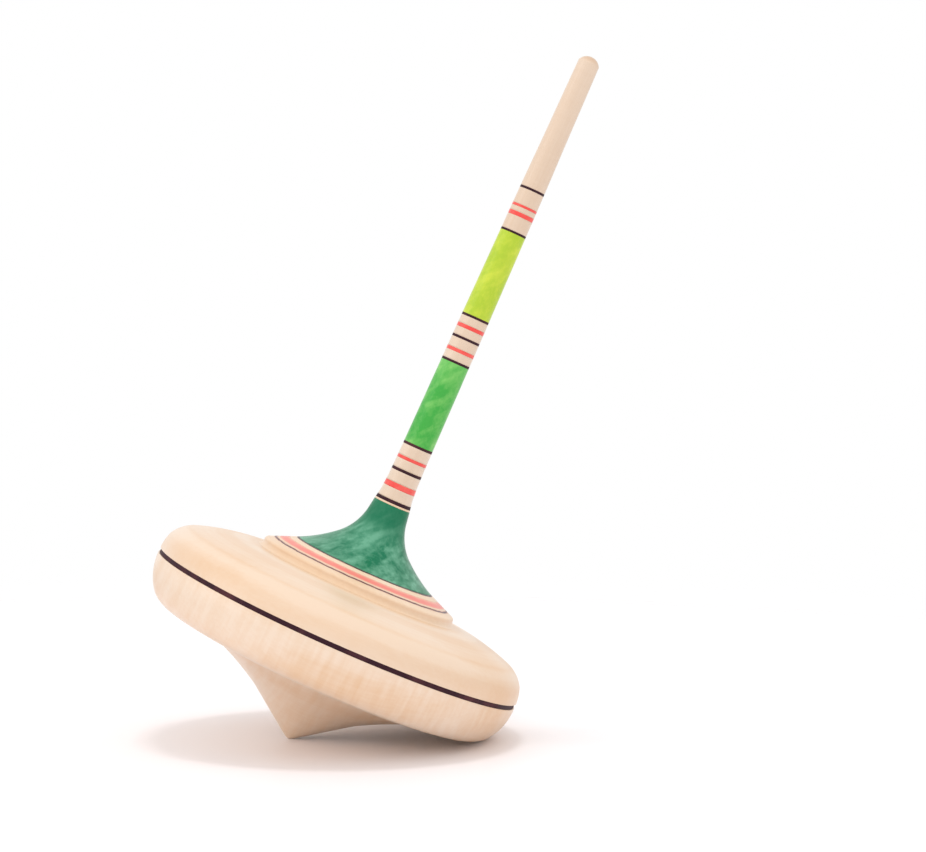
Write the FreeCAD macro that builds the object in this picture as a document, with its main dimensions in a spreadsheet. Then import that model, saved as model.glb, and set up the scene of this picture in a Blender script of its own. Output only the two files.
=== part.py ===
"""Spinning top: a turned maple disc, a flared collar and a long twirling spindle.

The top stands upright on its tip. +Z is the spin axis and the origin is the point
of the tip that touches the table. All sizes are millimetres. The coloured bands
and burnt lines are thin flush rings, as deep as the stain is taken to reach.
"""
import FreeCAD, Part

import math
import os

import Sketcher

doc = FreeCAD.newDocument("SpinningTop")
sheet = doc.addObject("Spreadsheet::Sheet", "Sizes")

SIZES = {
    # wooden disc, from the tip outwards and over the rim
    "tip_r": 1.0, "tip_z": 0.38,
    "cone_r": 9.9, "cone_z": 6.85,
    "cove_r": 12.4, "cove_z": 8.5, "cove_arc": 22.0,
    "crease_r": 23.4, "crease_z": 13.72, "skirt_arc": 70.0,
    "valley_r": 25.85, "valley_z": 14.21, "valley_arc": 8.0,
    "belly_r": 34.18, "belly_z": 15.25, "belly_arc": 54.0,
    "bilge_r": 37.35, "bilge_z": 17.2, "bilge_arc": 5.57,
    "rim_low_r": 39.6, "rim_low_z": 24.52, "rim_low_arc": 11.7,
    "rim_high_r": 39.59, "rim_high_z": 25.48,
    "brow_r": 38.85, "brow_z": 28.85, "brow_arc": 9.7,
    "shoulder_r": 35.0, "shoulder_z": 31.95, "shoulder_arc": 6.7,
    "crown_arc": 42.0,
    "groove_deep": 0.27, "rim_line_deep": 0.35,
    # joints inside the disc
    "spigot_r": 8.0, "spigot_z": 31.5, "tenon_r": 2.4, "tenon_z": 18.0,
    # collar and flare
    "seat_r": 21.8, "seat_z": 34.27,
    "ledge_r": 20.95, "ledge_z": 35.45, "ledge_arc": 1.3,
    "lip_r": 20.6, "lip_z": 36.1, "lip_arc": 0.6,
    "flare_r": 14.6, "flare_z": 38.6, "flare_arc": 32.0,
    "waist_r": 7.6, "waist_z": 43.35, "waist_arc": 11.5,
    "neck_r": 4.2, "neck_z": 50.1,
    "bare_r": 3.88, "bare_z": 52.2,
    "collar_line_in": 18.65, "collar_line_out": 19.33,
    "coral_in": 16.4, "coral_out": 18.25,
    "flare_line_out": 15.07,
    "stain_deep": 0.3,
    # spindle stations, from the collar to the domed end
    "foot_r": 3.81, "foot_z": 52.59,
    "ease_r": 3.47, "ease_z": 54.4,
    "slim_r": 3.26, "slim_z": 57.6,
    "grip_r": 3.17, "grip_z": 61.0,
    "mid_r": 2.98, "mid_z": 85.0,
    "upper_r": 2.93, "upper_z": 92.6,
    "high_r": 2.70, "high_z": 114.5,
    "thin_r": 2.61, "thin_z": 124.0,
    "last_r": 2.45, "last_z": 133.0,
    "edge_r": 2.24, "edge_z": 150.5,
    "dome_z": 151.9,
}

STATIONS = ["foot", "ease", "slim", "grip", "mid", "upper", "high", "thin", "last", "edge"]

# Lines drawn round the spindle: name, middle height, width.
STEM_RINGS = [
    ("stem_line_1", 52.94, 0.70),
    ("red_ring_1", 56.18, 1.15),
    ("stem_line_2", 59.45, 0.60),
    ("red_ring_2", 62.08, 0.65),
    ("stem_line_3", 65.08, 0.55),
    ("stem_line_4", 83.96, 0.50),
    ("red_ring_3", 86.35, 0.73),
    ("stem_line_5", 89.06, 0.52),
    ("red_ring_4", 91.45, 0.78),
    ("stem_line_6", 93.79, 0.50),
    ("stem_line_7", 112.85, 0.47),
    ("red_ring_5", 116.60, 0.88),
    ("red_ring_6", 118.35, 0.52),
    ("stem_line_8", 122.20, 0.50),
]

# Stained bands that fill the spindle between two of its lines.
STEM_BANDS = [
    ("green_band", "stem_line_3", "stem_line_4"),
    ("lime_band", "stem_line_6", "stem_line_7"),
]

for name, middle, width in STEM_RINGS:
    SIZES[name + "_mid"] = middle
    SIZES[name + "_wide"] = width

for row, (name, value) in enumerate(SIZES.items(), start=1):
    sheet.set("A%d" % row, name)
    sheet.set("B%d" % row, str(value))
    sheet.setAlias("B%d" % row, name)
doc.recompute()


ZERO = (0.0, "0")


def cell(name):
    """A sheet value as a number and as the expression that reads it."""
    return SIZES[name], "Sizes." + name


def less(first, second):
    """The difference of two sized values."""
    return first[0] - second[0], "(%s - %s)" % (first[1], second[1])


def between(at, start, end):
    """The value at height or radius `at` on the straight line from start to end."""
    (x0, y0), (x1, y1) = start, end
    value = y0[0] + (at[0] - x0[0]) * (y1[0] - y0[0]) / (x1[0] - x0[0])
    text = "(%s + (%s - %s) * (%s - %s) / (%s - %s))" % (
        y0[1], at[1], x0[1], y1[1], y0[1], x1[1], x0[1])
    return value, text


def spot(name):
    """An outline point named in the sheet."""
    return cell(name + "_r"), cell(name + "_z")


def sunk(point):
    """An outline point of the collar moved inwards and down by the stain's depth."""
    deep = cell("stain_deep")
    return less(point[0], deep), less(point[1], deep)


def on_cone(radius):
    """The collar's conical top at a radius, between its lip and its flare."""
    return cell(radius), between(cell(radius), spot("lip"), spot("flare"))


def on_stem(height):
    """The spindle's tapered side at a height."""
    for low, high in zip(STATIONS, STATIONS[1:]):
        if SIZES[low + "_z"] - 1e-6 <= height[0] <= SIZES[high + "_z"]:
            ends = [(cell(name + "_z"), cell(name + "_r")) for name in (low, high)]
            return between(height, ends[0], ends[1]), height
    raise ValueError("height %s is off the spindle" % height[0])


def ring_edges(name):
    """The lower and upper heights of a line drawn round the spindle."""
    middle, wide = SIZES[name + "_mid"], SIZES[name + "_wide"]
    text = "(Sizes.%s_mid %s Sizes.%s_wide / 2)"
    return ((middle - wide / 2, text % (name, "-", name)),
            (middle + wide / 2, text % (name, "+", name)))


def round_edge(start, end, radius, bulge):
    """An arc between two points; bulge +1 swells out of the wood, -1 hollows it.

    With no radius given, the arc is a ball end, centred on the spin axis.
    """
    a = FreeCAD.Vector(start[0][0], start[1][0], 0)
    b = FreeCAD.Vector(end[0][0], end[1][0], 0)
    chord = b - a
    half = chord.Length / 2
    ball = chord.Length ** 2 / (2 * abs(chord.y))
    size = ball if radius is None else radius[0]
    sagitta = size - math.sqrt(size ** 2 - half ** 2)
    outward = FreeCAD.Vector(chord.y, -chord.x, 0).normalize()
    return Part.Arc(a, (a + b) * 0.5 + outward * sagitta * bulge, b)


def draw(sketch, outline):
    """Draw one closed outline and tie every point and radius to the sheet.

    The outline runs anticlockwise: (point, None) for a straight edge leaving the
    point, or (point, (radius, bulge)) for an arc leaving it.
    """
    first = sketch.GeometryCount
    count = len(outline)
    for index, (start, bend) in enumerate(outline):
        end = outline[(index + 1) % count][0]
        if bend is None:
            a = FreeCAD.Vector(start[0][0], start[1][0], 0)
            b = FreeCAD.Vector(end[0][0], end[1][0], 0)
            sketch.addGeometry(Part.LineSegment(a, b), False)
        else:
            sketch.addGeometry(round_edge(start, end, bend[0], bend[1]), False)
    ends = []
    for index, (start, bend) in enumerate(outline):
        # An arc is kept anticlockwise, so a hollow one is stored end first.
        flipped = bend is not None and bend[1] < 0
        ends.append((2, 1) if flipped else (1, 2))
    for index, (start, bend) in enumerate(outline):
        geo = first + index
        after = first + (index + 1) % count
        sketch.addConstraint(Sketcher.Constraint(
            "Coincident", geo, ends[index][1], after, ends[(index + 1) % count][0]))
        for axis, kind, value in ((-2, "DistanceX", start[0]), (-1, "DistanceY", start[1])):
            if value[0] == 0:
                sketch.addConstraint(Sketcher.Constraint(
                    "PointOnObject", geo, ends[index][0], axis))
            else:
                number = sketch.addConstraint(Sketcher.Constraint(
                    kind, geo, ends[index][0], value[0]))
                sketch.setExpression("Constraints[%d]" % number, value[1])
        if bend is not None and bend[0] is None:
            sketch.addConstraint(Sketcher.Constraint("PointOnObject", geo, 3, -2))
        elif bend is not None:
            number = sketch.addConstraint(Sketcher.Constraint("Radius", geo, bend[0][0]))
            sketch.setExpression("Constraints[%d]" % number, bend[0][1])


def sketch_on_axis(body, name, outlines):
    """A sketch in the XZ plane, its upright axis on the spin axis."""
    sketch = body.newObject("Sketcher::SketchObject", name)
    plane = [item for item in body.Origin.OriginFeatures if item.Role == "XZ_Plane"][0]
    sketch.AttachmentSupport = [(plane, "")]
    sketch.MapMode = "FlatFace"
    for outline in outlines:
        draw(sketch, outline)
    return sketch


def turned(label, outline, seats=()):
    """A body turned about the spin axis, with seats cut for the rings it carries.

    The seats come in groups, one cut each, so that two which touch are never cut together.
    """
    body = doc.addObject("PartDesign::Body", label)
    body.Label = label
    body.Placement = FreeCAD.Placement()
    sketch = sketch_on_axis(body, label + "_outline", [outline])
    blank = body.newObject("PartDesign::Revolution", label + "_blank")
    blank.Profile = sketch
    blank.ReferenceAxis = (sketch, ["V_Axis"])
    blank.Angle = 360.0
    for number, group in enumerate(seats, start=1):
        sketch = sketch_on_axis(body, "%s_seats_%d" % (label, number), group)
        cut = body.newObject("PartDesign::Groove", "%s_cut_%d" % (label, number))
        cut.Profile = sketch
        cut.ReferenceAxis = (sketch, ["V_Axis"])
        cut.Angle = 360.0
    return body


def axis_at(height):
    """A point on the spin axis."""
    return ZERO, height


ball_end = (None, 1)


# --- outlines of the rings set into the collar --------------------------------
def cone_ring(inner, outer):
    """A ring of stain on the collar's cone."""
    return [(sunk(outer), None), (outer, None), (inner, None), (sunk(inner), None)]


collar_line = cone_ring(on_cone("collar_line_in"), on_cone("collar_line_out"))
coral_ring = cone_ring(on_cone("coral_in"), on_cone("coral_out"))
flare_line = cone_ring(spot("flare"), on_cone("flare_line_out"))
long_bend = (cell("flare_arc"), -1)
tight_bend = (cell("waist_arc"), -1)
back_long = (cell("flare_arc"), 1)
back_tight = (cell("waist_arc"), 1)
flare_stain = [
    (spot("flare"), long_bend),
    (spot("waist"), tight_bend),
    (spot("neck"), None),
    (spot("bare"), None),
    (sunk(spot("bare")), None),
    (sunk(spot("neck")), back_tight),
    (sunk(spot("waist")), back_long),
    (sunk(spot("flare")), None),
]

# --- outline of the line sunk in the rim ---------------------------------------
rim_face = less(cell("rim_high_r"), cell("groove_deep"))
rim_back = less(rim_face, cell("rim_line_deep"))
rim_line = [
    ((rim_back, cell("rim_low_z")), None),
    ((rim_face, cell("rim_low_z")), None),
    ((rim_face, cell("rim_high_z")), None),
    ((rim_back, cell("rim_high_z")), None),
]

# --- outlines of the rings round the spindle -----------------------------------
stem_rings = {}
for name, middle, width in STEM_RINGS:
    low, high = ring_edges(name)
    stem_rings[name] = (low, high)
for name, below, above in STEM_BANDS:
    stem_rings[name] = (stem_rings[below][1], stem_rings[above][0])


def stem_ring(low, high):
    """A ring of stain round the spindle between two heights."""
    foot, head = on_stem(low), on_stem(high)
    deep = cell("stain_deep")
    return [
        ((less(foot[0], deep), foot[1]), None),
        (foot, None),
        (head, None),
        ((less(head[0], deep), head[1]), None),
    ]


# --- the disc, with its tip -----------------------------------------------------
disc = [
    (axis_at(ZERO), ball_end),
    (spot("tip"), None),
    (spot("cone"), (cell("cove_arc"), -1)),
    (spot("cove"), (cell("skirt_arc"), -1)),
    (spot("crease"), (cell("valley_arc"), -1)),
    (spot("valley"), (cell("belly_arc"), 1)),
    (spot("belly"), (cell("bilge_arc"), 1)),
    (spot("bilge"), (cell("rim_low_arc"), 1)),
    (spot("rim_low"), None),
    ((rim_back, cell("rim_low_z")), None),
    ((rim_back, cell("rim_high_z")), None),
    (spot("rim_high"), (cell("brow_arc"), 1)),
    (spot("brow"), (cell("shoulder_arc"), 1)),
    (spot("shoulder"), (cell("crown_arc"), 1)),
    (spot("seat"), None),
    ((cell("spigot_r"), cell("seat_z")), None),
    ((cell("spigot_r"), cell("spigot_z")), None),
    ((cell("tenon_r"), cell("spigot_z")), None),
    ((cell("tenon_r"), cell("tenon_z")), None),
    (axis_at(cell("tenon_z")), None),
]
turned("disc", disc)

# --- the flared collar, glued into the disc by a round spigot --------------------
collar = [
    ((cell("tenon_r"), cell("spigot_z")), None),
    ((cell("spigot_r"), cell("spigot_z")), None),
    ((cell("spigot_r"), cell("seat_z")), None),
    (spot("seat"), (cell("ledge_arc"), -1)),
    (spot("ledge"), (cell("lip_arc"), 1)),
    (spot("lip"), None),
    (spot("flare"), long_bend),
    (spot("waist"), tight_bend),
    (spot("neck"), None),
    (spot("bare"), None),
    (spot("foot"), None),
    ((cell("tenon_r"), cell("foot_z")), None),
]
turned("flared_collar", collar, [[collar_line, coral_ring, flare_line], [flare_stain]])

# --- the spindle, with its tenon down through collar and disc --------------------
spindle = [
    (axis_at(cell("tenon_z")), None),
    ((cell("tenon_r"), cell("tenon_z")), None),
    ((cell("tenon_r"), cell("foot_z")), None),
]
for name in STATIONS:
    spindle.append((spot(name), None))
spindle[-1] = (spot("edge"), ball_end)
spindle.append((axis_at(cell("dome_z")), None))
line_seats = [stem_ring(*stem_rings[name]) for name, middle, width in STEM_RINGS]
band_seats = [stem_ring(*stem_rings[name]) for name, below, above in STEM_BANDS]
turned("spindle", spindle, [line_seats, band_seats])

# --- the thin coloured rings ------------------------------------------------------
turned("rim_line", rim_line)
turned("collar_line", collar_line)
turned("coral_ring", coral_ring)
turned("flare_line", flare_line)
turned("flare_stain", flare_stain)
for name, (low, high) in stem_rings.items():
    turned(name, stem_ring(low, high))

doc.recompute()

for item in doc.Objects:
    if "Invalid" in item.State or "Error" in item.State:
        raise RuntimeError("%s did not rebuild: %s" % (item.Name, item.State))

os.makedirs("parts", exist_ok=True)
for body in doc.findObjects("PartDesign::Body"):
    shape = body.Shape
    if shape.isNull() or not shape.isValid() or len(shape.Solids) != 1:
        raise RuntimeError("%s is not one sound solid" % body.Label)
    shape.exportStep("parts/%s.step" % body.Label)
    print("%-14s volume %9.2f mm3" % (body.Label, shape.Volume))
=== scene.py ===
import math

import bpy
import numpy as np
from mathutils import Matrix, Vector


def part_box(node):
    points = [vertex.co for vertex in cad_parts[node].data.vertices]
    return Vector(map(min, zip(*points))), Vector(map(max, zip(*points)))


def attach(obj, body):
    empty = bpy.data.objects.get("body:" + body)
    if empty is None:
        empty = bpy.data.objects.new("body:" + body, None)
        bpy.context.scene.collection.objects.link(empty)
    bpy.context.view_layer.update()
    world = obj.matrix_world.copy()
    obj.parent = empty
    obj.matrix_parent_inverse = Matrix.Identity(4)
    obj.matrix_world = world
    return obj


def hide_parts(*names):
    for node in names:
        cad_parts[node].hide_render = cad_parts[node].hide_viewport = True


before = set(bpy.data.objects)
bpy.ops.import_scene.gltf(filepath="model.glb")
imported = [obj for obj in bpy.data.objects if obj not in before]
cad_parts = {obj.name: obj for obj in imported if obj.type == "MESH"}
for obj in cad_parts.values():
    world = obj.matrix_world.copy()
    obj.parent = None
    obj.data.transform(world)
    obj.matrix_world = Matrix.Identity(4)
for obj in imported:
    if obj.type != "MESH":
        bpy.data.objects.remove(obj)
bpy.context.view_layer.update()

# ---------------------------------------------------------------------------
# The disc. A thick maple disc with a blunt cone for a tip, faceplate-turned
# with its grain running across the spin axis, sanded and lacquered satin.
# ---------------------------------------------------------------------------
MM = 0.001


def straight(start, end, step=0.3):
    """Points on the straight line from start to end, one every step, end left out."""
    count = max(1, int(math.dist(start, end) / step))
    share = np.arange(count)[:, None] / count
    return np.array(start) * (1 - share) + np.array(end) * share


def sweep(start, end, radius, bulge, step=0.3):
    """Points on an arc from start to end, end left out.

    The centre lies on the chord's middle line at sqrt(radius^2 - half^2), on the
    wood's side of it for bulge +1 and on the air's side for bulge -1; each point is
    centre + radius * (cos, sin) of an angle that runs evenly from one end to the other.
    """
    start, end = np.array(start, float), np.array(end, float)
    chord = end - start
    half = np.linalg.norm(chord) / 2
    outward = np.array([chord[1], -chord[0]]) / (2 * half)
    centre = (start + end) / 2 - outward * bulge * math.sqrt(radius ** 2 - half ** 2)
    first, last = np.arctan2(*(start - centre)[::-1]), np.arctan2(*(end - centre)[::-1])
    turn = (last - first + math.pi) % (2 * math.pi) - math.pi
    count = max(2, int(abs(turn) * radius / step))
    angle = first + turn * np.arange(count) / count
    return centre + radius * np.stack([np.cos(angle), np.sin(angle)], 1)


def turned(name, runs, sides=320):
    """A surface of revolution in millimetres, made from runs of outline points.

    Point (i, j) is (r_i cos a_j, r_i sin a_j, z_i), with a_j = 2 pi j / sides. An outline
    that starts or ends on the axis closes in one pole point; any other is a closed loop.
    """
    outline = np.vstack(runs)
    poles = [k for k in (0, len(outline) - 1) if outline[k, 0] < 1e-9]
    rows = np.delete(outline, poles, axis=0)
    angle = 2 * math.pi * np.arange(sides) / sides
    grid = np.empty((len(rows), sides, 3))
    grid[..., 0] = rows[:, :1] * np.cos(angle)
    grid[..., 1] = rows[:, :1] * np.sin(angle)
    grid[..., 2] = rows[:, 1:]
    points = grid.reshape(-1, 3)
    count = len(rows)
    lower = np.arange(count - 1) if poles else np.arange(count)
    upper = (lower + 1) % count
    here, beside = np.arange(sides), (np.arange(sides) + 1) % sides
    faces = np.stack([
        lower[:, None] * sides + here, lower[:, None] * sides + beside,
        upper[:, None] * sides + beside, upper[:, None] * sides + here], -1).reshape(-1, 4)
    loops, sizes = [faces.ravel()], [np.full(len(faces), 4)]
    for pole in poles:
        tip = len(points)
        points = np.vstack([points, [0, 0, outline[pole, 1]]])
        ring = 0 if pole == 0 else (count - 1) * sides
        fan = np.stack([np.full(sides, tip), ring + beside, ring + here], 1)
        if pole:
            fan = fan[:, [0, 2, 1]]
        loops.append(fan.ravel())
        sizes.append(np.full(sides, 3))
    loops, sizes = np.concatenate(loops), np.concatenate(sizes)
    mesh = bpy.data.meshes.new(name)
    mesh.vertices.add(len(points))
    mesh.vertices.foreach_set("co", (points * MM).astype(np.float32).ravel())
    mesh.loops.add(len(loops))
    mesh.loops.foreach_set("vertex_index", loops.astype(np.int32))
    mesh.polygons.add(len(sizes))
    mesh.polygons.foreach_set("loop_start", (np.cumsum(sizes) - sizes).astype(np.int32))
    mesh.polygons.foreach_set("use_smooth", np.ones(len(sizes), bool))
    mesh.update(calc_edges=True)
    mesh.validate()
    piece = bpy.data.objects.new(name, mesh)
    bpy.context.scene.collection.objects.link(piece)
    return piece


def node(tree, kind, **values):
    """A new node, with its plain settings and its input sockets' values set."""
    made = tree.nodes.new(kind)
    for key, value in values.items():
        if key in made.inputs:
            made.inputs[key].default_value = value
        else:
            setattr(made, key, value)
    return made


def new_group(name, inputs, outputs):
    """An empty shader node group with its sockets, and its input and output nodes."""
    tree = bpy.data.node_groups.new(name, "ShaderNodeTree")
    for label, kind, value in inputs:
        socket = tree.interface.new_socket(label, in_out="INPUT", socket_type=kind)
        if value is not None:
            socket.default_value = value
    for label, kind in outputs:
        tree.interface.new_socket(label, in_out="OUTPUT", socket_type=kind)
    return tree, tree.nodes.new("NodeGroupInput"), tree.nodes.new("NodeGroupOutput")


def noise(tree, where, scale, detail=3.0, rough=0.5, squash=(1, 1, 1), seed=(0, 0, 0)):
    """Noise from 0 to 1 about 0.5, stretched by squash; seed shifts it elsewhere."""
    frame_node = node(tree, "ShaderNodeMapping")
    frame_node.inputs["Scale"].default_value = squash
    frame_node.inputs["Location"].default_value = seed
    tree.links.new(where, frame_node.inputs["Vector"])
    made = node(tree, "ShaderNodeTexNoise", Scale=scale, Detail=detail, Roughness=rough)
    tree.links.new(frame_node.outputs["Vector"], made.inputs["Vector"])
    return made.outputs["Fac"]


def remap(tree, value, low, high, to_low=0.0, to_high=1.0):
    """value carried from low..high to to_low..to_high, with soft ends."""
    made = node(tree, "ShaderNodeMapRange", interpolation_type="SMOOTHSTEP")
    made.inputs["From Min"].default_value = low
    made.inputs["From Max"].default_value = high
    made.inputs["To Min"].default_value = to_low
    made.inputs["To Max"].default_value = to_high
    tree.links.new(value, made.inputs["Value"])
    return made.outputs["Result"]


def maths(tree, operation, first, second=0.0):
    """One Math node on sockets or plain numbers."""
    made = tree.nodes.new("ShaderNodeMath")
    made.operation = operation
    for socket, value in zip(made.inputs, (first, second)):
        if isinstance(value, (int, float)):
            socket.default_value = value
        else:
            tree.links.new(value, socket)
    return made.outputs[0]


def blend(tree, share, first, second, mode="MIX"):
    """A colour Mix node; share, first and second are sockets or plain values."""
    made = tree.nodes.new("ShaderNodeMix")
    made.data_type = "RGBA"
    made.blend_type = mode
    for socket, value in ((made.inputs[0], share), (made.inputs[6], first), (made.inputs[7], second)):
        if isinstance(value, (int, float, tuple)):
            socket.default_value = value
        else:
            tree.links.new(value, socket)
    return made.outputs[2]


maple, into, out = new_group(
    "figured maple",
    [("Place", "NodeSocketVector", None), ("Turned", "NodeSocketVector", None),
     ("Pale", "NodeSocketColor", (0.84, 0.66, 0.50, 1)),
     ("Warm", "NodeSocketColor", (0.74, 0.52, 0.34, 1)),
     ("Curl", "NodeSocketFloat", 1.0), ("Bands and sheen", "NodeSocketFloat", 0.0),
     ("Gloss", "NodeSocketFloat", 0.32)],
    [("Color", "NodeSocketColor"), ("Roughness", "NodeSocketFloat"), ("Height", "NodeSocketFloat")])
place = into.outputs["Place"]
slow = noise(maple, place, 26.0, 2.0, 0.5, (1, 1, 1), (3, 1, 7))
along = node(maple, "ShaderNodeSeparateXYZ")
maple.links.new(place, along.inputs[0])
# Curl: stripes across the grain a little over 2 mm apart, bent by a slow noise, that come and go.
CURL_TURN, CURL_BEND = 2700.0, 40.0   # radians per metre along the grain; radians of bend
CURL_SHARE = 0.07
phase = maths(maple, "ADD", maths(maple, "MULTIPLY", along.outputs["X"], CURL_TURN),
              maths(maple, "MULTIPLY", slow, CURL_BEND))
wave = maths(maple, "SINE", phase)
broken = remap(maple, noise(maple, place, 70.0, 2.0, 0.5, (0.7, 1, 1), (1, 8, 2)), 0.4, 0.62)
curl = maths(maple, "MULTIPLY", maths(maple, "MULTIPLY", wave, broken), into.outputs["Curl"])
fine_curl = noise(maple, place, 820.0, 2.0, 0.6, (1.0, 0.10, 0.10), (5, 5, 1))
fine_curl = maths(maple, "MULTIPLY", remap(maple, fine_curl, 0.3, 0.7, -0.14, 0.14),
                  into.outputs["Curl"])
# Turned bands: soft rings of warmer and paler colour round the spin axis, partly wood bands and partly
# painted highlight rings standing in for the lacquer's sheen.
flat = node(maple, "ShaderNodeVectorMath", operation="MULTIPLY")
maple.links.new(into.outputs["Turned"], flat.inputs[0])
flat.inputs[1].default_value = (1, 1, 0)
radius = node(maple, "ShaderNodeVectorMath", operation="LENGTH")
maple.links.new(flat.outputs["Vector"], radius.inputs[0])
ring_place = node(maple, "ShaderNodeCombineXYZ", Y=0.004, Z=0.011)
maple.links.new(radius.outputs["Value"], ring_place.inputs["X"])
bands_and_sheen = noise(maple, ring_place.outputs[0], 430.0, 1.5, 0.5)
bands_and_sheen = maths(maple, "MULTIPLY", remap(maple, bands_and_sheen, 0.3, 0.7, -0.3, 0.3), into.outputs["Bands and sheen"])
# Growth: wide soft patches of warmer wood lying flat across the disc.
growth = noise(maple, place, 42.0, 2.0, 0.5, (0.3, 1.0, 1.8), (2, 4, 9))
# Fibres: hair-thin streaks along the grain.
fibre = noise(maple, place, 1500.0, 3.0, 0.6, (0.05, 1, 1), (7, 3, 5))
share = maths(maple, "ADD", remap(maple, growth, 0.32, 0.68, 0.1, 0.75),
              maths(maple, "MULTIPLY", curl, CURL_SHARE))
share = maths(maple, "ADD", share, maths(maple, "ADD", fine_curl, bands_and_sheen))
share = maths(maple, "ADD", share, remap(maple, fibre, 0.3, 0.7, -0.08, 0.08))
tone = blend(maple, share, into.outputs["Pale"], into.outputs["Warm"])
maple.links.new(tone, out.inputs["Color"])
rough = maths(maple, "ADD", into.outputs["Gloss"], remap(maple, slow, 0.3, 0.7, -0.04, 0.06))
maple.links.new(rough, out.inputs["Roughness"])
height = maths(maple, "ADD", maths(maple, "MULTIPLY", fibre, 0.5), maths(maple, "MULTIPLY", slow, 1.2))
maple.links.new(height, out.inputs["Height"])


def lacquered(name, bump=0.00002, grain=(0.0, 0.0, 0.0)):
    """A wood material with its place node and shader; grain turns the wood's own axes."""
    made = bpy.data.materials.new(name)
    made.use_nodes = True
    tree = made.node_tree
    tree.nodes.clear()
    coordinates = tree.nodes.new("ShaderNodeTexCoord")
    turn = tree.nodes.new("ShaderNodeMapping")
    turn.inputs["Rotation"].default_value = grain
    tree.links.new(coordinates.outputs["Object"], turn.inputs["Vector"])
    shader = tree.nodes.new("ShaderNodeBsdfPrincipled")
    shader.inputs["Coat Weight"].default_value = 0.2
    shader.inputs["Coat Roughness"].default_value = 0.32
    shader.inputs["IOR"].default_value = 1.5
    relief = node(tree, "ShaderNodeBump", Strength=1.0, Distance=bump)
    tree.links.new(relief.outputs["Normal"], shader.inputs["Normal"])
    end = tree.nodes.new("ShaderNodeOutputMaterial")
    tree.links.new(shader.outputs[0], end.inputs["Surface"])
    return made, tree, turn.outputs["Vector"], shader, relief


def maple_material(name, grain, curl, pale, warm, curl_top, bands_and_sheen=0.0, painted_shade_end=None,
                   painted_fill_pale=None):
    """Bare lacquered maple for one piece.

    Over the 4 mm above the height curl_top the curl fades out, the turned bands fade in (partly
    wood and partly painted highlight rings of sheen), and the pale wood goes from a lower pale,
    if one is given, to pale: that lower pale is painted light, the lower part painted paler as if
    lit by more fill. Above the painted shade end height the wood is painted a browner shade.
    """
    made, tree, where, shader, relief = lacquered(name, grain=grain)
    figure = tree.nodes.new("ShaderNodeGroup")
    figure.node_tree = maple
    figure.inputs["Pale"].default_value = pale
    figure.inputs["Warm"].default_value = warm
    plain = tree.nodes.new("ShaderNodeTexCoord")
    parts = tree.nodes.new("ShaderNodeSeparateXYZ")
    tree.links.new(plain.outputs["Object"], parts.inputs[0])
    level = parts.outputs["Z"]
    curl_end = curl_top + 4 * MM
    tree.links.new(remap(tree, level, curl_top, curl_end, curl, curl * 0.15), figure.inputs["Curl"])
    tree.links.new(remap(tree, level, curl_top, curl_end, 0.0, bands_and_sheen), figure.inputs["Bands and sheen"])
    # Painted light: below curl_top the pale is painted paler, standing in for fill light on the lower
    # rim.
    if painted_fill_pale:
        tree.links.new(blend(tree, remap(tree, level, curl_top, curl_end), painted_fill_pale, pale),
                       figure.inputs["Pale"])
    tree.links.new(where, figure.inputs["Place"])
    tree.links.new(plain.outputs["Object"], figure.inputs["Turned"])
    colour = figure.outputs["Color"]
    # Painted shade: above this height the wood is painted browner, a painted shade on the domed end.
    if painted_shade_end:
        colour = blend(tree, remap(tree, level, painted_shade_end, painted_shade_end + 1.2 * MM, 0.0, 0.6), colour,
                       (0.50, 0.30, 0.17, 1))
    tree.links.new(colour, shader.inputs["Base Color"])
    tree.links.new(figure.outputs["Roughness"], shader.inputs["Roughness"])
    tree.links.new(figure.outputs["Height"], relief.inputs["Height"])
    return made


def heights(name):
    """A node's lowest and highest level in the frame, in millimetres."""
    low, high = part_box(name)
    return low[2] / MM, high[2] / MM


# The outline's corners as (radius, height) in millimetres, from the tip up to the collar's seat.
TIP_EDGE, CONE_TOP, COVE = (1.0, 0.38), (9.9, 6.85), (12.4, 8.5)
CREASE, VALLEY, BELLY, BILGE = (23.4, 13.72), (25.85, 14.21), (34.18, 15.25), (37.35, 17.2)
BROW, SHOULDER, SEAT = (38.85, 28.85), (35.0, 31.95), (21.8, 34.27)
# The radii of the curves between them: below the rim, then round the rim and over the crown.
TIP_CURVE, COVE_CURVE, HOLLOW_CURVE, VALLEY_CURVE, BELLY_CURVE = 1.506, 22.0, 70.0, 8.0, 54.0
BILGE_CURVE, LOWER_RIM_CURVE, UPPER_RIM_CURVE, BROW_CURVE, CROWN_CURVE = 5.57, 11.7, 9.7, 6.7, 42.0
# The groove for the dark line, its lips rounded, and the bores for the spigot and the tenon.
GROOVE_LOW, GROOVE_HIGH = heights("rim_line")
LOWER_LIP, UPPER_LIP, LIP_ROUND = 39.58, 39.57, 0.1
RIM_FACE, RIM_BACK = 39.32, 38.97
SPIGOT, SPIGOT_FLOOR = 8.0, 31.5
TENON, TENON_FLOOR, FLOOR_CENTRE = 2.4, 18.0, 0.5
underside = [
    sweep((0.1, 0.005), TIP_EDGE, TIP_CURVE, 1, 0.1),
    straight(TIP_EDGE, CONE_TOP),
    sweep(CONE_TOP, COVE, COVE_CURVE, -1),
    sweep(COVE, CREASE, HOLLOW_CURVE, -1),
    sweep(CREASE, VALLEY, VALLEY_CURVE, -1),
    sweep(VALLEY, BELLY, BELLY_CURVE, 1),
    sweep(BELLY, BILGE, BILGE_CURVE, 1),
]
lower_turn = (LOWER_LIP, GROOVE_LOW - LIP_ROUND)
lower_edge = (LOWER_LIP - LIP_ROUND, GROOVE_LOW)
upper_edge = (UPPER_LIP - LIP_ROUND, GROOVE_HIGH)
upper_turn = (UPPER_LIP, GROOVE_HIGH + LIP_ROUND)
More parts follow.
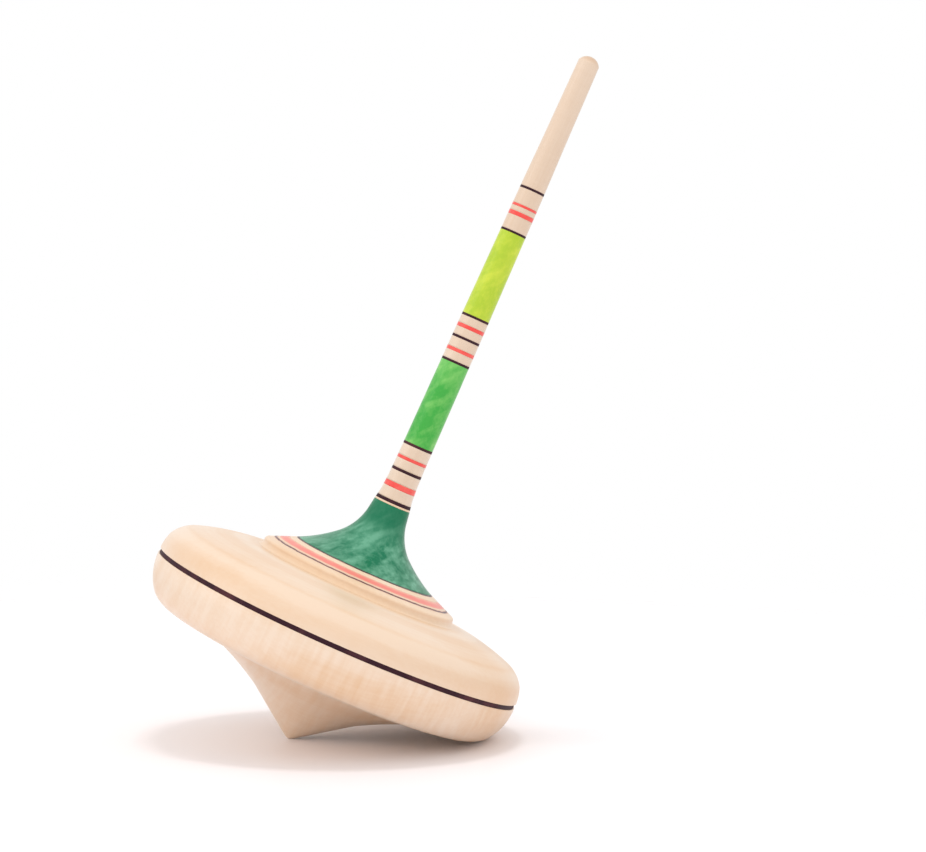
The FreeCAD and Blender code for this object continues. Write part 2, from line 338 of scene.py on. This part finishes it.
disc = turned("disc_turned", [
    [(0, 0)],
    *underside,
    sweep(BILGE, lower_turn, LOWER_RIM_CURVE, 1),
    sweep(lower_turn, lower_edge, LIP_ROUND, 1, 0.03),
    straight(lower_edge, (RIM_BACK, GROOVE_LOW), 0.1),
    straight((RIM_BACK, GROOVE_LOW), (RIM_BACK, GROOVE_HIGH), 0.2),
    straight((RIM_BACK, GROOVE_HIGH), upper_edge, 0.1),
    sweep(upper_edge, upper_turn, LIP_ROUND, 1, 0.03),
    sweep(upper_turn, BROW, UPPER_RIM_CURVE, 1),
    sweep(BROW, SHOULDER, BROW_CURVE, 1),
    sweep(SHOULDER, SEAT, CROWN_CURVE, 1),
    straight(SEAT, (SPIGOT, SEAT[1]), 1.0),
    straight((SPIGOT, SEAT[1]), (SPIGOT, SPIGOT_FLOOR), 0.8),
    straight((SPIGOT, SPIGOT_FLOOR), (TENON, SPIGOT_FLOOR), 0.8),
    straight((TENON, SPIGOT_FLOOR), (TENON, TENON_FLOOR), 1.5),
    straight((TENON, TENON_FLOOR), (FLOOR_CENTRE, TENON_FLOOR), 0.8),
    [(0, TENON_FLOOR)],
])
# The disc's crown bands are partly painted highlight rings, and its lower pale is painted light: paler
# where fill light falls on the lower rim.
disc.data.materials.append(maple_material(
    "disc maple", grain=(0, 0, 0), curl=1.0, pale=(0.77, 0.595, 0.45, 1), warm=(0.71, 0.46, 0.27, 1),
    curl_top=23 * MM, bands_and_sheen=1.4, painted_fill_pale=(0.80, 0.64, 0.505, 1)))
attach(disc, "root")
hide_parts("disc")

# ---------------------------------------------------------------------------
# The rim line. A dark line burnt and inked in a shallow groove round the
# disc's widest part.
# ---------------------------------------------------------------------------
ink, into, out = new_group(
    "worn ink",
    [("Place", "NodeSocketVector", None), ("Ink", "NodeSocketColor", (0.035, 0.010, 0.018, 1)),
     ("Thin", "NodeSocketColor", (0.085, 0.028, 0.035, 1))],
    [("Color", "NodeSocketColor"), ("Roughness", "NodeSocketFloat"), ("Height", "NodeSocketFloat")])
patchy = noise(ink, into.outputs["Place"], 260.0, 3.0, 0.6, (1, 1, 0.5), (4, 4, 2))
ink.links.new(blend(ink, remap(ink, patchy, 0.4, 0.75), into.outputs["Ink"], into.outputs["Thin"]),
              out.inputs["Color"])
ink.links.new(remap(ink, patchy, 0.3, 0.7, 0.55, 0.7), out.inputs["Roughness"])
ink.links.new(patchy, out.inputs["Height"])


def stain_material(name, group, colours, coat=0.1, sheen=0.3):
    """A stained or inked finish: the group's colours by name, on lacquered wood."""
    made, tree, where, shader, relief = lacquered(name)
    shader.inputs["Coat Weight"].default_value = coat
    shader.inputs["Specular IOR Level"].default_value = sheen
    figure = tree.nodes.new("ShaderNodeGroup")
    figure.node_tree = group
    for label, value in colours.items():
        figure.inputs[label].default_value = value
    tree.links.new(where, figure.inputs["Place"])
    tree.links.new(figure.outputs["Color"], shader.inputs["Base Color"])
    tree.links.new(figure.outputs["Roughness"], shader.inputs["Roughness"])
    tree.links.new(figure.outputs["Height"], relief.inputs["Height"])
    return made


dark_ink = stain_material("dark line ink", ink, {}, coat=0.0, sheen=0.15)
rim_line = turned("rim_line_turned", [
    straight((RIM_BACK, GROOVE_LOW), (RIM_FACE, GROOVE_LOW), 0.1),
    straight((RIM_FACE, GROOVE_LOW), (RIM_FACE, GROOVE_HIGH), 0.1),
    straight((RIM_FACE, GROOVE_HIGH), (RIM_BACK, GROOVE_HIGH), 0.1),
    straight((RIM_BACK, GROOVE_HIGH), (RIM_BACK, GROOVE_LOW), 0.2),
])
rim_line.data.materials.append(dark_ink)
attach(rim_line, "root")
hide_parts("rim_line")

# ---------------------------------------------------------------------------
# The flared collar. A maple collar glued on the disc by a spigot, with a low
# conical top and a concave flare up to the spindle.
# ---------------------------------------------------------------------------
LEDGE, LIP, FLARE = (20.95, 35.45), (20.6, 36.1), (14.6, 38.6)
WAIST, NECK, BARE, FOOT = (7.6, 43.35), (4.2, 50.1), (3.88, 52.2), (3.81, 52.59)
LEDGE_CURVE, LIP_CURVE, FLARE_CURVE, WAIST_CURVE = 1.3, 0.6, 32.0, 11.5
DEEP = 0.3


def on_cone(radius):
    """The point of the collar's conical top at a radius: a straight line from lip to flare."""
    share = (radius - LIP[0]) / (FLARE[0] - LIP[0])
    return radius, LIP[1] + share * (FLARE[1] - LIP[1])


def sunk(point):
    """A collar point moved in and down by the depth of the stain."""
    return point[0] - DEEP, point[1] - DEEP


def seat(outer, inner):
    """The seat that a ring of stain leaves in the cone, from its outer edge to its inner."""
    return np.vstack([straight(outer, sunk(outer), 0.15), straight(sunk(outer), sunk(inner)),
                      straight(sunk(inner), inner, 0.15)])


line_outer, line_inner = on_cone(19.33), on_cone(18.65)
coral_outer, coral_inner = on_cone(18.25), on_cone(16.4)
flare_line_outer = on_cone(15.07)
collar = turned("flared_collar_turned", [
    straight((TENON, SPIGOT_FLOOR), (SPIGOT, SPIGOT_FLOOR), 1.0),
    straight((SPIGOT, SPIGOT_FLOOR), (SPIGOT, SEAT[1]), 0.8),
    straight((SPIGOT, SEAT[1]), SEAT, 1.0),
    sweep(SEAT, LEDGE, LEDGE_CURVE, -1, 0.08),
    sweep(LEDGE, LIP, LIP_CURVE, 1, 0.05),
    straight(LIP, line_outer, 0.2),
    seat(line_outer, line_inner),
    straight(line_inner, coral_outer, 0.1),
    seat(coral_outer, coral_inner),
    straight(coral_inner, flare_line_outer, 0.2),
    straight(flare_line_outer, sunk(flare_line_outer), 0.15),
    straight(sunk(flare_line_outer), sunk(FLARE), 0.2),
    sweep(sunk(FLARE), sunk(WAIST), FLARE_CURVE, -1),
    sweep(sunk(WAIST), sunk(NECK), WAIST_CURVE, -1),
    straight(sunk(NECK), sunk(BARE)),
    straight(sunk(BARE), BARE, 0.15),
    straight(BARE, FOOT, 0.15),
    straight(FOOT, (TENON, FOOT[1]), 0.5),
    straight((TENON, FOOT[1]), (TENON, SPIGOT_FLOOR), 1.5),
])
collar.data.materials.append(maple_material(
    "collar maple", grain=(0, 0, 0.9), curl=0.7, pale=(0.80, 0.62, 0.46, 1),
    warm=(0.71, 0.46, 0.26, 1), curl_top=30 * MM))
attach(collar, "root")
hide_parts("flared_collar")

# ---------------------------------------------------------------------------
# The collar's rings. Two thin dark lines and a coral red ring drawn on the
# cone with the top turning in the lathe.
# ---------------------------------------------------------------------------
stain, into, out = new_group(
    "dyed maple",
    [("Place", "NodeSocketVector", None), ("Deep", "NodeSocketColor", (0.02, 0.2, 0.1, 1)),
     ("Light", "NodeSocketColor", (0.1, 0.4, 0.2, 1)), ("Streak", "NodeSocketFloat", 1.0),
     ("Calm above", "NodeSocketFloat", 9.0)],
    [("Color", "NodeSocketColor"), ("Roughness", "NodeSocketFloat"), ("Height", "NodeSocketFloat")])
place = into.outputs["Place"]
cloud = noise(stain, place, 150.0, 4.0, 0.62, (1, 1, 0.8), (1, 6, 3))
slant = node(stain, "ShaderNodeMapping")
slant.inputs["Rotation"].default_value = (0, 0.80, 0)
stain.links.new(place, slant.inputs["Vector"])
streaks = noise(stain, slant.outputs["Vector"], 520.0, 2.0, 0.5, (0.22, 0.5, 1.0), (8, 2, 4))
speck = noise(stain, place, 900.0, 3.0, 0.65, (1, 1, 0.7), (3, 9, 1))
# Above one height, over the next 4.5 mm, the figure calms down and the colour deepens.
PER_4_5_MM = 220.0
level = node(stain, "ShaderNodeSeparateXYZ")
stain.links.new(place, level.inputs[0])
above = maths(stain, "SUBTRACT", level.outputs["Z"], into.outputs["Calm above"])
over = maths(stain, "MULTIPLY", above, PER_4_5_MM)
calm = remap(stain, over, 0.0, 1.0, 1.0, 0.25)
share = maths(stain, "ADD", remap(stain, cloud, 0.3, 0.7, 0.0, 0.45),
              maths(stain, "MULTIPLY", remap(stain, streaks, 0.40, 0.72), into.outputs["Streak"]))
share = maths(stain, "ADD", share, remap(stain, speck, 0.35, 0.7, -0.14, 0.2))
share = maths(stain, "MULTIPLY", share, calm)
stain.links.new(blend(stain, share, into.outputs["Deep"], into.outputs["Light"]), out.inputs["Color"])
stain.links.new(remap(stain, cloud, 0.3, 0.7, 0.28, 0.40), out.inputs["Roughness"])
stain.links.new(speck, out.inputs["Height"])


def cone_ring(name, outer, inner, finish):
    """A flush ring of stain on the cone: outer edge to inner edge, then back beneath."""
    ring = turned(name + "_turned", [
        straight(sunk(outer), outer, 0.15), straight(outer, inner, 0.1),
        straight(inner, sunk(inner), 0.15), straight(sunk(inner), sunk(outer))])
    ring.data.materials.append(finish)
    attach(ring, "root")
    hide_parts(name)


bleed, into, out = new_group(
    "bleeding stain",
    [("Place", "NodeSocketVector", None), ("Strong", "NodeSocketColor", (0.78, 0.21, 0.17, 1)),
     ("Weak", "NodeSocketColor", (0.82, 0.42, 0.30, 1)), ("From", "NodeSocketFloat", 0.0158),
     ("Peak", "NodeSocketFloat", 0.0175), ("To", "NodeSocketFloat", 0.0187)],
    [("Color", "NodeSocketColor"), ("Roughness", "NodeSocketFloat"), ("Height", "NodeSocketFloat")])
# Strongest on one circle and weaker to both sides of it, where the stain crept into the grain.
flat = node(bleed, "ShaderNodeVectorMath", operation="MULTIPLY")
bleed.links.new(into.outputs["Place"], flat.inputs[0])
flat.inputs[1].default_value = (1, 1, 0)
radius = node(bleed, "ShaderNodeVectorMath", operation="LENGTH")
bleed.links.new(flat.outputs["Vector"], radius.inputs[0])
creep = noise(bleed, into.outputs["Place"], 380.0, 3.0, 0.6, (1, 1, 1), (2, 2, 5))
radius = maths(bleed, "ADD", radius.outputs["Value"], remap(bleed, creep, 0.3, 0.7, -0.00012, 0.00012))
sides = []
for rim in ("From", "To"):
    reach = maths(bleed, "SUBTRACT", into.outputs["Peak"], into.outputs[rim])
    sides.append(maths(bleed, "DIVIDE", maths(bleed, "SUBTRACT", radius, into.outputs[rim]), reach))
inside = maths(bleed, "MINIMUM", sides[0], sides[1])
bleed.links.new(blend(bleed, remap(bleed, inside, 0.15, 0.85), into.outputs["Weak"],
                      into.outputs["Strong"]), out.inputs["Color"])
bleed.links.new(remap(bleed, creep, 0.3, 0.7, 0.3, 0.42), out.inputs["Roughness"])
bleed.links.new(creep, out.inputs["Height"])
coral = stain_material("coral stain", bleed, {})
thin_ink = stain_material("thin collar ink", bleed, {
    "Strong": (0.06, 0.018, 0.030, 1), "Weak": (0.62, 0.36, 0.28, 1),
    "From": 0.01865, "Peak": 0.0190, "To": 0.01933}, coat=0.0, sheen=0.2)
flare_ink = stain_material("thin flare ink", bleed, {
    "Strong": (0.04, 0.014, 0.022, 1), "Weak": (0.35, 0.20, 0.16, 1),
    "From": 0.0143, "Peak": 0.01478, "To": 0.0151}, coat=0.0, sheen=0.2)
cone_ring("collar_line", line_outer, line_inner, thin_ink)
cone_ring("coral_ring", coral_outer, coral_inner, coral)
cone_ring("flare_line", flare_line_outer, FLARE, flare_ink)

# ---------------------------------------------------------------------------
# The flare's dark green stain, rubbed over the concave flare so that the
# curly grain shows through in lighter slanting streaks.
# ---------------------------------------------------------------------------
flare = turned("flare_stain_turned", [
    straight(sunk(FLARE), FLARE, 0.15),
    sweep(FLARE, WAIST, FLARE_CURVE, -1),
    sweep(WAIST, NECK, WAIST_CURVE, -1),
    straight(NECK, BARE, 0.2),
    straight(BARE, sunk(BARE), 0.15),
    straight(sunk(BARE), sunk(NECK)),
    sweep(sunk(NECK), sunk(WAIST), WAIST_CURVE, 1),
    sweep(sunk(WAIST), sunk(FLARE), FLARE_CURVE, 1),
])
flare.data.materials.append(stain_material("dark green stain", stain, {
    "Deep": (0.006, 0.16, 0.075, 1), "Light": (0.13, 0.37, 0.24, 1), "Streak": 0.75,
    "Calm above": 0.0445}, coat=0.04, sheen=0.15))
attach(flare, "root")
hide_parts("flare_stain")

# ---------------------------------------------------------------------------
# The spindle. A slim maple rod, turned with a slight taper and a domed end,
# its tenon glued down through the collar into the disc.
# ---------------------------------------------------------------------------
STATIONS = np.array([
    FOOT, (3.47, 54.4), (3.26, 57.6), (3.17, 61.0), (2.98, 85.0),
    (2.93, 92.6), (2.70, 114.5), (2.61, 124.0), (2.45, 133.0), (2.24, 150.5)])
LINES = ["stem_line_%d" % number for number in range(1, 9)]
REDS = ["red_ring_%d" % number for number in range(1, 7)]


def side(low, high, step=0.3, deep=0.0):
    """The spindle's side between two heights: radius read off straight tapers."""
    heights = np.linspace(low, high, max(2, int((high - low) / step) + 1))
    radii = np.interp(heights, STATIONS[:, 1], STATIONS[:, 0]) - deep
    return np.stack([radii, heights], 1)


rings = sorted(heights(name) for name in LINES + REDS + ["green_band", "lime_band"])
runs = [[(0, TENON_FLOOR)], straight((FLOOR_CENTRE, TENON_FLOOR), (TENON, TENON_FLOOR), 0.8),
        straight((TENON, TENON_FLOOR), (TENON, FOOT[1]), 1.5),
        straight((TENON, FOOT[1]), (3.5, FOOT[1]), 0.4)]
level = FOOT[1]
for low, high in rings:
    if low > level + 1e-3:
        runs.append(side(level, low))
    runs.append(side(low, high, deep=DEEP))
    level = high
DOME_EDGE, DOME_TOP, DOME_CURVE = tuple(STATIONS[-1]), 151.9, 2.492
runs += [side(level, DOME_EDGE[1] - 0.1), sweep(DOME_EDGE, (0.1, DOME_TOP), DOME_CURVE, 1, 0.1),
         [(0, DOME_TOP)]]
SPINDLE_SIDES = 96
spindle = turned("spindle_turned", runs, SPINDLE_SIDES)
# The domed end gets a painted browner shade from 150.3 mm up.
spindle.data.materials.append(maple_material(
    "spindle maple", grain=(0, math.pi / 2, 0), curl=0.3, pale=(0.76, 0.62, 0.50, 1),
    warm=(0.64, 0.47, 0.34, 1), curl_top=160 * MM, painted_shade_end=150.3 * MM))
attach(spindle, "root")
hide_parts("spindle")

# ---------------------------------------------------------------------------
# The spindle's rings and bands. Dark lines, red rings, and the leaf green and
# lime stained bands between them.
# ---------------------------------------------------------------------------


def stem_ring(name, finish):
    """A flush ring of stain round the spindle, at the heights of its node in the frame."""
    low, high = heights(name)
    face, back = side(low, high, 0.15), side(low, high, 0.5, DEEP)[::-1]
    ring = turned(name + "_turned", [face, back], SPINDLE_SIDES)
    ring.data.materials.append(finish)
    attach(ring, "root")
    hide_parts(name)


for name in LINES:
    stem_ring(name, dark_ink)
red = stain_material("red stain", stain, {
    "Deep": (0.80, 0.07, 0.06, 1), "Light": (0.90, 0.16, 0.13, 1), "Streak": 0.3})
for name in REDS:
    stem_ring(name, red)
stem_ring("green_band", stain_material("leaf green stain", stain, {
    "Deep": (0.045, 0.38, 0.05, 1), "Light": (0.20, 0.56, 0.13, 1), "Streak": 0.6}))
stem_ring("lime_band", stain_material("lime stain", stain, {
    "Deep": (0.40, 0.56, 0.03, 1), "Light": (0.62, 0.70, 0.06, 1), "Streak": 0.5}))

# ---------------------------------------------------------------------------
# The table, the light and the camera. The top lies at rest on its tip and the
# edge of its belly, so against the upright top the table leans by that angle.
# ---------------------------------------------------------------------------
low_run = np.vstack(underside[4:])
LEAN = np.arctan2(low_run[:, 1], low_run[:, 0]).min()
TURN, LOOK_DOWN, ROLL = math.radians(4.5), math.radians(3.0), math.radians(0.226)
TIP_SEEN = np.array([-35.67, -63.74, -612.2])

# Directions told in the camera's own right, up and back.
roll = np.array([[math.cos(ROLL), math.sin(ROLL), 0], [-math.sin(ROLL), math.cos(ROLL), 0], [0, 0, 1]])
table_up = roll @ np.array([0, math.cos(LOOK_DOWN), math.sin(LOOK_DOWN)])
table_right = roll @ np.array([1.0, 0, 0])
table_away = np.cross(table_up, table_right)
spin = math.cos(LEAN) * table_up + math.sin(LEAN) * (
    math.cos(TURN) * table_right + math.sin(TURN) * table_away)
lean_to = (math.cos(LEAN) * spin - table_up) / math.sin(LEAN)
to_row = np.stack([lean_to, np.cross(spin, lean_to), spin])


def placed(thing, directions, where):
    """Set a stage object by its right, up and back directions and its place, in metres."""
    matrix = np.eye(4)
    matrix[:3, :3] = directions
    matrix[:3, 3] = where
    thing.matrix_world = Matrix([list(row) for row in matrix])


camera = bpy.data.objects.new("camera", bpy.data.cameras.new("camera"))
camera.data.lens = 116.6
camera.data.sensor_width = 36.0
camera.data.clip_start, camera.data.clip_end = 0.01, 20.0
bpy.context.scene.collection.objects.link(camera)
placed(camera, to_row, to_row @ (-TIP_SEEN) * MM)
bpy.context.scene.camera = camera

up_row = to_row @ table_up
right_row = to_row @ table_right
away_row = to_row @ table_away


def floor_point(right, away, up=0.0):
    """A point given in metres across, into and above the table, in the row frame."""
    return right_row * right + away_row * away + up_row * up


# The table is a round sheet: point (i, j) lies at radius s_i and angle a_j on the leaning plane.
TABLE_RADIUS, TABLE_SIDES = 0.36, 96
steps = np.linspace(0, TABLE_RADIUS, 31)[1:]
around = 2 * math.pi * np.arange(TABLE_SIDES) / TABLE_SIDES
table_points = np.vstack([np.zeros((1, 3))] + [
    np.outer(np.cos(around) * s, right_row) + np.outer(np.sin(around) * s, away_row) for s in steps])
table_faces = [(1 + j, 1 + (j + 1) % TABLE_SIDES, 0) for j in range(TABLE_SIDES)]
for i in range(len(steps) - 1):
    inner, outer = 1 + i * TABLE_SIDES, 1 + (i + 1) * TABLE_SIDES
    for j in range(TABLE_SIDES):
        beside = (j + 1) % TABLE_SIDES
        table_faces.append((inner + j, outer + j, outer + beside, inner + beside))
table_mesh = bpy.data.meshes.new("table")
table_mesh.from_pydata([tuple(p) for p in table_points], [], table_faces)
table = bpy.data.objects.new("table", table_mesh)
bpy.context.scene.collection.objects.link(table)

white = bpy.data.materials.new("white table")
white.use_nodes = True
tree = white.node_tree
tree.nodes.clear()
coordinates = tree.nodes.new("ShaderNodeTexCoord")
away = node(tree, "ShaderNodeVectorMath", operation="LENGTH")
tree.links.new(coordinates.outputs["Object"], away.inputs[0])
fade = remap(tree, away.outputs["Value"], 0.12, 0.34)
geometry = tree.nodes.new("ShaderNodeNewGeometry")
hidden = maths(tree, "MAXIMUM", fade, geometry.outputs["Backfacing"])
matt = node(tree, "ShaderNodeBsdfPrincipled", Roughness=0.5, IOR=1.3)
matt.inputs["Base Color"].default_value = (0.925, 0.895, 0.915, 1)
clear = tree.nodes.new("ShaderNodeBsdfTransparent")
mixed = tree.nodes.new("ShaderNodeMixShader")
tree.links.new(hidden, mixed.inputs[0])
tree.links.new(matt.outputs[0], mixed.inputs[1])
tree.links.new(clear.outputs[0], mixed.inputs[2])
end = tree.nodes.new("ShaderNodeOutputMaterial")
tree.links.new(mixed.outputs[0], end.inputs["Surface"])
table_mesh.materials.append(white)

world = bpy.data.worlds.new("white studio")
bpy.context.scene.world = world
world.use_nodes = True
tree = world.node_tree
tree.nodes.clear()
seen = node(tree, "ShaderNodeBackground", Strength=1.0)
seen.inputs["Color"].default_value = (1, 1, 1, 1)
lit = node(tree, "ShaderNodeBackground", Strength=1.0)
lit.inputs["Color"].default_value = (1.0, 0.99, 0.98, 1)
path = tree.nodes.new("ShaderNodeLightPath")
mixed = tree.nodes.new("ShaderNodeMixShader")
tree.links.new(path.outputs["Is Camera Ray"], mixed.inputs[0])
tree.links.new(lit.outputs[0], mixed.inputs[1])
tree.links.new(seen.outputs[0], mixed.inputs[2])
end = tree.nodes.new("ShaderNodeOutputWorld")
tree.links.new(mixed.outputs[0], end.inputs["Surface"])


def softbox(name, where, aim, wide, high, watts, mirrored=True):
    """A rectangular lamp at one table point, facing another; mirrored in the lacquer or not."""
    lamp = bpy.data.lights.new(name, "AREA")
    lamp.shape = "RECTANGLE"
    lamp.size, lamp.size_y = wide, high
    lamp.energy = watts
    made = bpy.data.objects.new(name, lamp)
    made.visible_glossy = mirrored
    bpy.context.scene.collection.objects.link(made)
    place = floor_point(*where)
    back = place - floor_point(*aim)
    back /= np.linalg.norm(back)
    across = np.cross(away_row, back)
    across /= np.linalg.norm(across)
    placed(made, np.stack([across, np.cross(back, across), back], 1), place)


# The overhead lamp throws the soft shadow, the left window puts a sheen on the lacquer, and
# the low front window fills the side of the rim that faces the camera.
softbox("overhead lamp", (0.012, 0.0, 0.75), (0.012, 0.0, 0.03), wide=0.13, high=0.13, watts=1.2,
        mirrored=False)
softbox("left window", (-0.7, -0.25, 0.35), (0.03, 0.0, 0.04), wide=0.5, high=0.5, watts=0.6)
softbox("front window", (0.12, -0.9, 0.09), (0.02, 0.0, 0.03), wide=0.8, high=0.16, watts=1.2,
        mirrored=False)

view = bpy.context.scene.view_settings
view.view_transform = "Standard"
